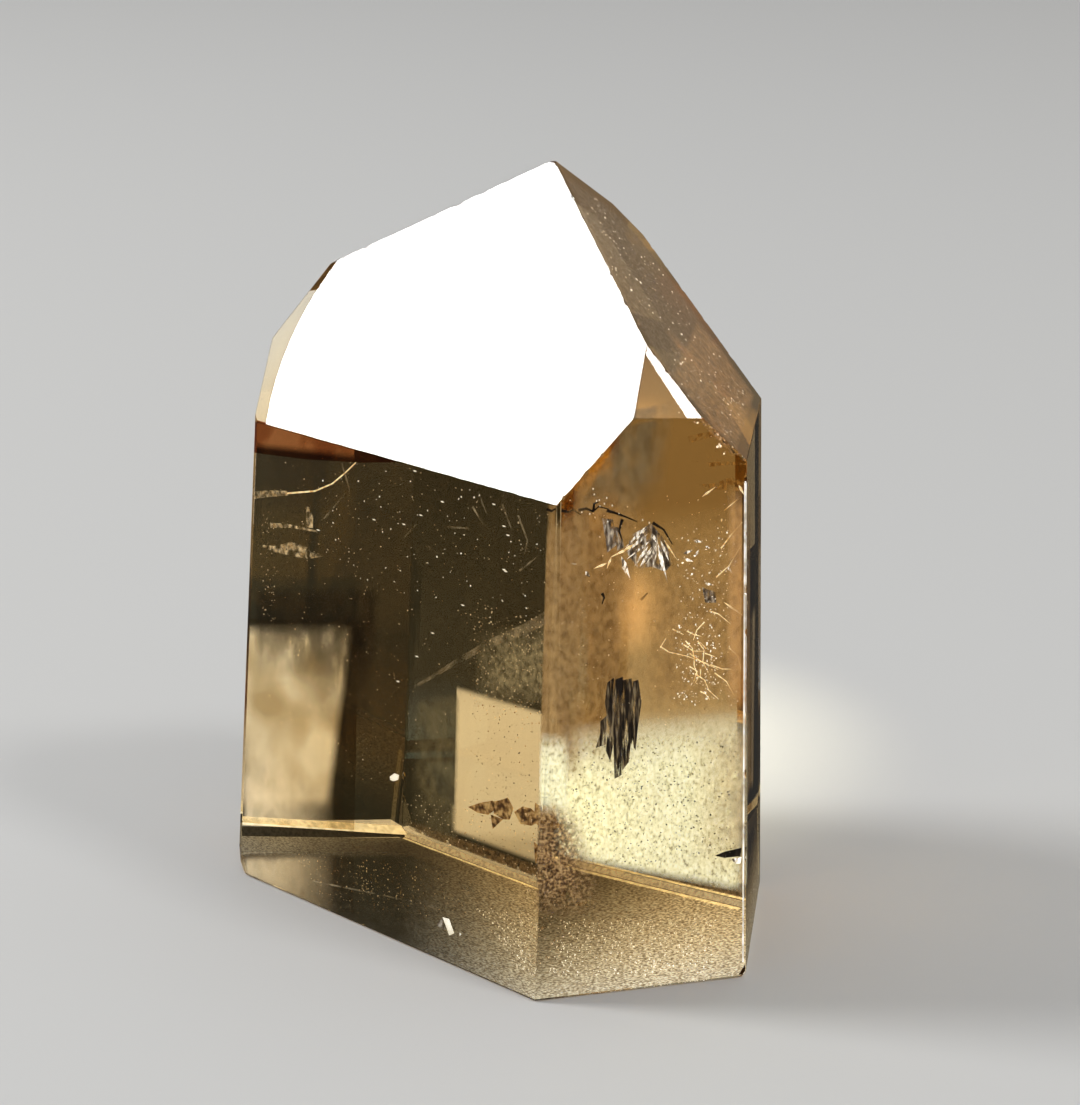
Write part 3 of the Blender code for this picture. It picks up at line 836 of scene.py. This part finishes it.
# The floor is a plain pale sheet that runs on past the frame on every side. It is stage, not part of
# the object, and lies a hair below the crystal's foot, so that the foot keeps its film of air. The
# polished faces don't mirror it, as if a black cloth lay just outside the view.

FLOOR_REACH = 4.0
FLOOR_GAP = 0.03 * MM
FLOOR_COLOUR = (0.60, 0.60, 0.59, 1.0)


def flat_mesh(name, corners):
    """One flat face, from corners that are each a point in metres and its place on the UV map."""
    mesh = bpy.data.meshes.new(name)
    mesh.from_pydata([point for point, _ in corners], [], [range(len(corners))])
    layer = mesh.uv_layers.new(name="mm")
    for loop in mesh.loops:
        layer.data[loop.index].uv = corners[loop.vertex_index][1]
    return mesh


def on_stage(name, mesh, material):
    mesh.materials.append(material)
    piece = bpy.data.objects.new(name, mesh)
    bpy.context.scene.collection.objects.link(piece)
    return piece


def pale_floor():
    corners = [(x * FLOOR_REACH, y * FLOOR_REACH) for x, y in ((-1, -1), (1, -1), (1, 1), (-1, 1))]
    mesh = flat_mesh("floor", [((x, y, -FLOOR_GAP), (x, y)) for x, y in corners])
    material, nodes, _ = node_material("pale_floor")
    shader = nodes["Principled BSDF"]
    shader.inputs["Base Color"].default_value = FLOOR_COLOUR
    shader.inputs["Roughness"].default_value = 0.7
    sheet = on_stage("floor", mesh, material)
    sheet.visible_glossy = False
    return sheet


floor = pale_floor()

# Black cards stand close behind the crystal, as is done to light clear glass, so that its clear back
# looks dark except for two windows on to the floor, and a lit card stands close on its left. They
# are stage, and only light that has come through the crystal meets them.


def seen_through_crystal_only(piece):
    for ray in ("camera", "diffuse", "glossy", "shadow", "volume_scatter"):
        setattr(piece, "visible_" + ray, False)


def window_mask(nodes, links, corners, soft):
    """How far inside a convex outline of anticlockwise mm corners a point of the UV map is, 0 to 1."""
    place = nodes.new("ShaderNodeUVMap")
    place.uv_map = "mm"
    inside = None
    for (u0, v0), (u1, v1) in zip(corners, corners[1:] + corners[:1]):
        length = math.hypot(u1 - u0, v1 - v0)
        normal = ((v0 - v1) / length, (u1 - u0) / length, 0.0)
        reach = nodes.new("ShaderNodeVectorMath")
        reach.operation = "DOT_PRODUCT"
        links.new(place.outputs["UV"], reach.inputs[0])
        reach.inputs[1].default_value = normal
        edge = normal[0] * u0 + normal[1] * v0
        step = share_of(nodes, links, reach.outputs["Value"], edge - soft, edge + soft, kind="SMOOTHSTEP")
        inside = step if inside is None else maths(nodes, links, "MULTIPLY", inside, step)
    return inside


def card_mesh(name, corner, right, up, size):
    width, height = size
    spots = [(0, 0), (width, 0), (width, height), (0, height)]
    return flat_mesh(name, [((corner + right * u + up * v) * MM, (u, v)) for u, v in spots])


def glowing_card(name, corner, right, up, size, colour, windows=()):
    """A lit sheet from its lowest left corner, seen only through the crystal, with soft clear windows."""
    mesh = card_mesh(name, corner, right, up, size)
    material, nodes, links = node_material(name)
    nodes.remove(nodes["Principled BSDF"])
    glow = nodes.new("ShaderNodeEmission")
    glow.inputs["Color"].default_value = (*colour, 1.0)
    shown = glow.outputs["Emission"]
    clear = nodes.new("ShaderNodeBsdfTransparent")
    for corners, soft in windows:
        mix = nodes.new("ShaderNodeMixShader")
        links.new(window_mask(nodes, links, corners, soft), mix.inputs["Fac"])
        links.new(shown, mix.inputs[1])
        links.new(clear.outputs["BSDF"], mix.inputs[2])
        shown = mix.outputs["Shader"]
    links.new(shown, nodes["Material Output"].inputs["Surface"])
    card = on_stage(name, mesh, material)
    seen_through_crystal_only(card)
    return card


DARK = (0.028, 0.030, 0.022)
CARD_GAP = 1.5
BOTTOM = 0.1


def beside_face(azimuth, lean, distance, left, low):
    """Where a card outside the face at azimuth starts, and its ways along and up, in mm."""
    outward = compass(azimuth)
    along = outward.cross(UP)
    tilt = math.tan(math.radians(lean))
    up = UP - outward * tilt
    return outward * (distance + CARD_GAP) + along * left + up * low, along, up


def card_beside(name, azimuth, lean, distance, left, right, low, top, windows):
    """A black card just outside the face at azimuth, in that face's own (along, up) mm."""
    foot, along, up = beside_face(azimuth, lean, distance, left, low)
    moved = [([(u - left, z - low) for u, z in corners], soft) for corners, soft in windows]
    glowing_card(name, foot, along, up, (right - left, top - low), DARK, moved)


LEFT_WINDOW = [(-21.0, 2.0), (-1.4, 2.0), (1.2, 20.8), (-21.0, 20.8)]
CORNER_GAP = [(6.75, 4.0), (7.5, 4.0), (7.5, 51.0), (6.75, 51.0)]
RIGHT_WINDOW = [(-9.1, 1.4), (14.0, 1.4), (14.0, 17.0), (-9.1, 16.4)]
card_beside("black_card_back", -165.5, 1.5, 21.8, -20.0, 10.0, BOTTOM, 28.0,
            [(LEFT_WINDOW, 0.9), (CORNER_GAP, 0.1)])
card_beside("black_card_high", -165.5, 1.5, 21.8, 1.2, 10.0, 28.0, 50.0, [(CORNER_GAP, 0.1)])
card_beside("black_card_back_right", 137.5, 0.5, 18.0, -15.35, 12.0, BOTTOM, 44.0, [(RIGHT_WINDOW, 0.4)])
FAR_WAY = compass(139)
FAR_ALONG = FAR_WAY.cross(UP)
SLOPING_TOP = [(-1.0, 16.0), (37.0, 25.7), (37.0, 40.0), (-1.0, 40.0)]
glowing_card("black_card_far", Vector((-9, 20, 0.5)) + FAR_WAY * 52 + FAR_ALONG * -18, FAR_ALONG,
             UP, (36, 26), DARK, [(SLOPING_TOP, 0.6)])
glowing_card("black_card_corner", Vector((1.5, 24.5, BOTTOM)) + FAR_WAY * 6 + FAR_ALONG * -1.0, FAR_ALONG,
             UP, (2.0, 28), DARK)

LIT_CARD_LEFT, LIT_CARD_RIGHT, LIT_CARD_TOP = -3.0, 15.0, 44.0
LIT_CARD_GLOW = [(0.0, (0.24, 0.50, 1.10)), (2.2, (0.22, 0.42, 0.90)), (4.8, (0.14, 0.26, 0.60)),
                 (7.7, (0.06, 0.09, 0.16)), (15.0, (0.045, 0.07, 0.12)), (18.2, (0.02, 0.03, 0.045)),
                 (22.5, (0.0, 0.0, 0.0))]
LIT_CARD_CLEAR = [(24.0, (1.0, 1.0, 1.0)), (30.0, (0.64, 0.56, 0.44))]
LIT_CARD_STRENGTH = 4.5
LIT_SPOT = [(7.4, 15.6), (12.4, 15.6), (12.4, 21.6), (7.4, 21.6)]
LIT_SPOT_SOFT = 2.6
LIT_SPOT_COLOUR = (1.0, 0.90, 0.90, 1.0)


def lit_card_beside():
    """A clear card that glows by its height, with one brighter spot, just outside the left face."""
    foot, along, up = beside_face(-100.0, 3.5, 25.8, LIT_CARD_LEFT, BOTTOM)
    size = (LIT_CARD_RIGHT - LIT_CARD_LEFT, LIT_CARD_TOP - BOTTOM)
    mesh = card_mesh("lit_card_left", foot, along, up, size)
    material, nodes, links = node_material("lit_card_left")
    nodes.remove(nodes["Principled BSDF"])
    place = nodes.new("ShaderNodeUVMap")
    place.uv_map = "mm"
    split = nodes.new("ShaderNodeSeparateXYZ")
    links.new(place.outputs["UV"], split.inputs[0])
    height = share_of(nodes, links, split.outputs["Y"], 0.0, size[1])
    by_height = nodes.new("ShaderNodeEmission")
    glow = [((z - BOTTOM) / size[1], colour) for z, colour in LIT_CARD_GLOW]
    links.new(ramp_of(nodes, links, height, glow), by_height.inputs["Color"])
    by_height.inputs["Strength"].default_value = LIT_CARD_STRENGTH
    clear = nodes.new("ShaderNodeBsdfTransparent")
    tint = [((z - BOTTOM) / size[1], colour) for z, colour in LIT_CARD_CLEAR]
    links.new(ramp_of(nodes, links, height, tint), clear.inputs["Color"])
    spot = nodes.new("ShaderNodeEmission")
    spot.inputs["Color"].default_value = LIT_SPOT_COLOUR
    moved = [(u - LIT_CARD_LEFT, z - BOTTOM) for u, z in LIT_SPOT]
    links.new(window_mask(nodes, links, moved, LIT_SPOT_SOFT), spot.inputs["Strength"])
    total = clear.outputs["BSDF"]
    for shader in (by_height, spot):
        more = nodes.new("ShaderNodeAddShader")
        links.new(total, more.inputs[0])
        links.new(shader.outputs["Emission"], more.inputs[1])
        total = more.outputs["Shader"]
    links.new(total, nodes["Material Output"].inputs["Surface"])
    card = on_stage("lit_card_left", mesh, material)
    seen_through_crystal_only(card)


lit_card_beside()

# The lights are two plain soft boxes in a dim room with a white ceiling. The large one on the left is
# what the broad face mirrors, and the one on the right is what the small face catches along its edge.
# Daylight panels show only through the crystal, a dim panel shows only as a reflection, and a spot lays
# a pool of light on the floor behind it.


def soft_box(name, way, distance, size, radiance, target, shift=(0.0, 0.0), shape="RECTANGLE", turn=0.0):
    """A light of size and at distance from target, shifted right and up as it faces target, all in mm,
    and turned by so many degrees."""
    right = Matrix.Rotation(math.radians(turn), 3, way) @ UP.cross(way).normalized()
    up = way.cross(right)
    data = bpy.data.lights.new(name, "AREA")
    data.shape = shape
    data.size, data.size_y = size[0] * MM, size[1] * MM
    area = data.size * data.size_y * (math.pi / 4 if shape == "ELLIPSE" else 1.0)
    data.energy = radiance * area * 4
    box = bpy.data.objects.new(name, data)
    centre = (Vector(target) + way * distance + right * shift[0] + up * shift[1]) * MM
    box.matrix_world = Matrix.Translation(centre) @ Matrix((right, up, way)).transposed().to_4x4()
    bpy.context.scene.collection.objects.link(box)
    return box


BROAD_FACE = (-4, -3, 55)
SMALL_FACE = (13, -17, 54)
soft_box("soft_box_left", compass(-98, 40.4), distance=1200, size=(300, 380), radiance=22,
         target=BROAD_FACE, shift=(-20, 20), shape="ELLIPSE")
right_box = soft_box("soft_box_right", compass(56, 54), distance=1000, size=(160, 160), radiance=20,
                     target=SMALL_FACE, shift=(40.5, 0), turn=-4.5)
right_box.visible_transmission = False

PANEL_DISTANCE = 800


def low_panel(name, way, size, colour, target):
    """A daylight panel of size and facing target, in mm, seen only through the crystal."""
    right = UP.cross(way).normalized()
    up = way.cross(right)
    corner = Vector(target) + way * PANEL_DISTANCE - right * size[0] / 2 - up * size[1] / 2
    return glowing_card(name, corner, right, up, size, colour)


LEFT_CORNER = (-24, 10)
RIGHT_CORNER = (6, -22)
low_panel("low_panel_left", compass(-81.5, 24.6), (120, 80), (0.9, 1.6, 3.4), (*LEFT_CORNER, 8))
low_panel("low_panel_front", compass(-19, 22.5), (100, 80), (2.0, 3.6, 7.5), (*LEFT_CORNER, 3))
low_panel("low_panel_right", compass(62, 15), (120, 60), (2.8, 7.0, 26.0), (*RIGHT_CORNER, 18))
low_panel("mid_panel_right", compass(64, 31.3), (180, 56), (1.2, 2.9, 12.0), (*RIGHT_CORNER, 10))
low_panel("high_panel_right", compass(65, 36.4), (180, 86), (2.6, 7.2, 30.0), (*RIGHT_CORNER, 14))

dim_panel = low_panel("dim_panel_behind", compass(156, 5), (260, 130), (0.42, 0.32, 0.20), (14, -2, 50))
dim_panel.visible_transmission = False
dim_panel.visible_glossy = True

POOL_CENTRE = (12, 38, 0)
POOL_DISTANCE = 300
POOL_WAY = compass(175, 70)
POOL_COLOUR = (1.0, 0.92, 0.65)
POOL_DEGREES = 11
pool_light = bpy.data.lights.new("pool_behind", "SPOT")
pool_light.energy = 2.4
pool_light.color = POOL_COLOUR
pool_light.spot_size = math.radians(POOL_DEGREES)
pool_light.spot_blend = 0.6
pool_light.shadow_soft_size = 0.01
pool = bpy.data.objects.new("pool_behind", pool_light)
pool.matrix_world = (
    Matrix.Translation((Vector(POOL_CENTRE) + POOL_WAY * POOL_DISTANCE) * MM)
    @ POOL_WAY.to_track_quat("Z", "Y").to_matrix().to_4x4()
)
bpy.context.scene.collection.objects.link(pool)
floor_alone = bpy.data.collections.new("floor_alone")
floor_alone.objects.link(floor)
pool.light_linking.receiver_collection = floor_alone
pool.light_linking.blocker_collection = floor_alone

# The room's walls by height, from -1 straight down to 1 straight up
ROOM = [(-0.04, (0.03, 0.03, 0.03)), (0.03, (0.10, 0.07, 0.05)), (0.15, (0.10, 0.07, 0.05)),
        (0.22, (0.06, 0.06, 0.06)), (0.60, (0.06, 0.06, 0.06)), (0.86, (1.0, 1.0, 1.0))]
world = bpy.data.worlds.new("studio")
bpy.context.scene.world = world
world.use_nodes = True
nodes, links = world.node_tree.nodes, world.node_tree.links
place = nodes.new("ShaderNodeTexCoord")
split = nodes.new("ShaderNodeSeparateXYZ")
links.new(place.outputs["Generated"], split.inputs[0])
height = share_of(nodes, links, split.outputs["Z"], -1.0, 1.0)
stops = [((z + 1) / 2, colour) for z, colour in ROOM]
links.new(ramp_of(nodes, links, height, stops), nodes["Background"].inputs["Color"])

# The camera looks at the crystal from the front and a little above, with a long lens. Light is followed
# through many bounces, so that it finds its way through the quartz.

CAMERA_PLACE = (1.874, -244.65, 116.817)
CAMERA_WAY = compass(-0.477, 18.622)
CAMERA_ROLL = 0.189
BOUNCES = 24
camera_data = bpy.data.cameras.new("camera")
camera_data.lens = 92.9
camera_data.sensor_width = 36.0
camera_data.sensor_fit = "HORIZONTAL"
camera_data.clip_start = 0.01
camera = bpy.data.objects.new("camera", camera_data)
camera.matrix_world = (
    Matrix.Translation(Vector(CAMERA_PLACE) * MM)
    @ CAMERA_WAY.to_track_quat("Z", "Y").to_matrix().to_4x4()
    @ Matrix.Rotation(math.radians(CAMERA_ROLL), 4, "Z")
)
scene = bpy.context.scene
scene.collection.objects.link(camera)
scene.camera = camera
scene.view_settings.view_transform = "Standard"
scene.cycles.max_bounces = BOUNCES
scene.cycles.transmission_bounces = BOUNCES
scene.cycles.glossy_bounces = BOUNCES
scene.cycles.transparent_max_bounces = BOUNCES
